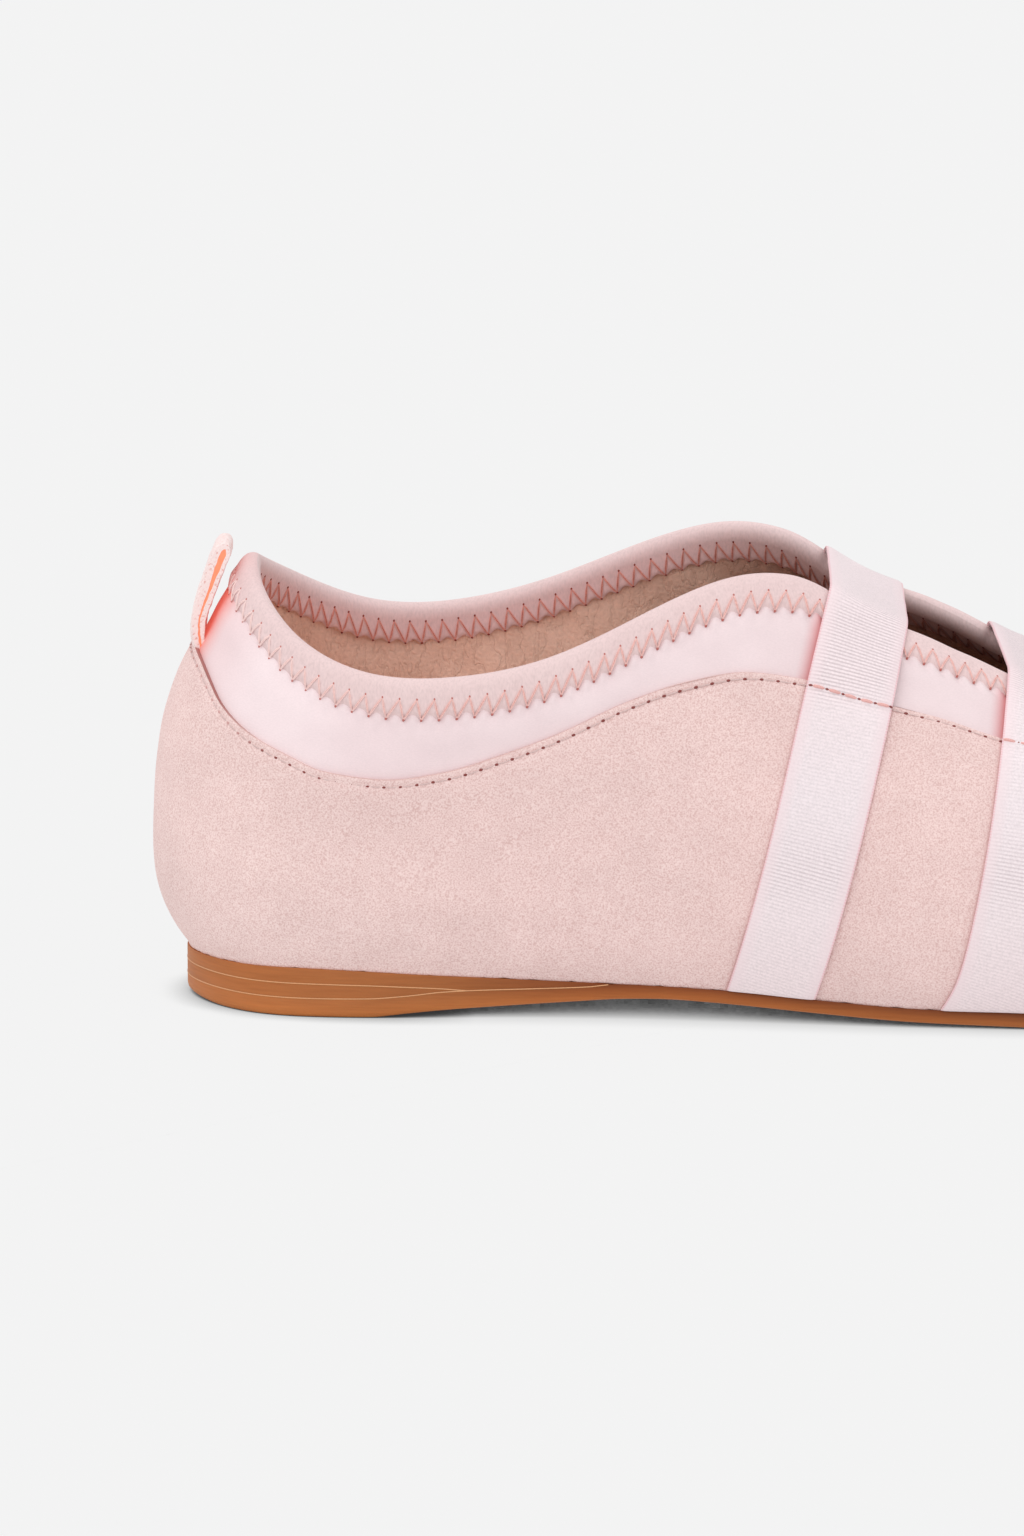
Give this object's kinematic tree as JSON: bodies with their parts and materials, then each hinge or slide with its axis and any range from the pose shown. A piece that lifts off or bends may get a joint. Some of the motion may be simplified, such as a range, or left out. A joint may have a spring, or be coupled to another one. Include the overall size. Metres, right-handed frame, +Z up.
{
  "type": "ballet sneaker",
  "caption": "Low slip-on ballet sneaker for a right foot: suede and satin upper with a bound collar, elastic instep straps, a heel pull loop and a thin gum sole.",
  "frame": {"origin": "middle of the shoe's footprint box, on the ground plane it stands on", "axes": "+X towards the toe, +Y towards the wearer's left (the inner side of this right shoe), +Z up"},
  "size_m": [0.2502, 0.0854, 0.0796],
  "materials": {
    "suede": "dusty pink brushed suede over a leather lining",
    "satin": "pale pink stretch satin of the upper panel",
    "binding": "soft brushed knit folded over the collar",
    "gum": "translucent brown gum rubber",
    "lining": "smooth tan lining leather",
    "elastic": "pale pink woven elastic with fine cross ribs",
    "webbing": "pale pink folded tape"
  },
  "bodies": {
    "root": {"upper": "suede", "collar_binding": "binding", "outsole": "gum", "heel_lift": "gum", "heel_wedge": "gum", "insole": "lining", "strap_rear": "elastic", "strap_front": "elastic", "pull_loop": "webbing"}
  },
  "joints": []
}
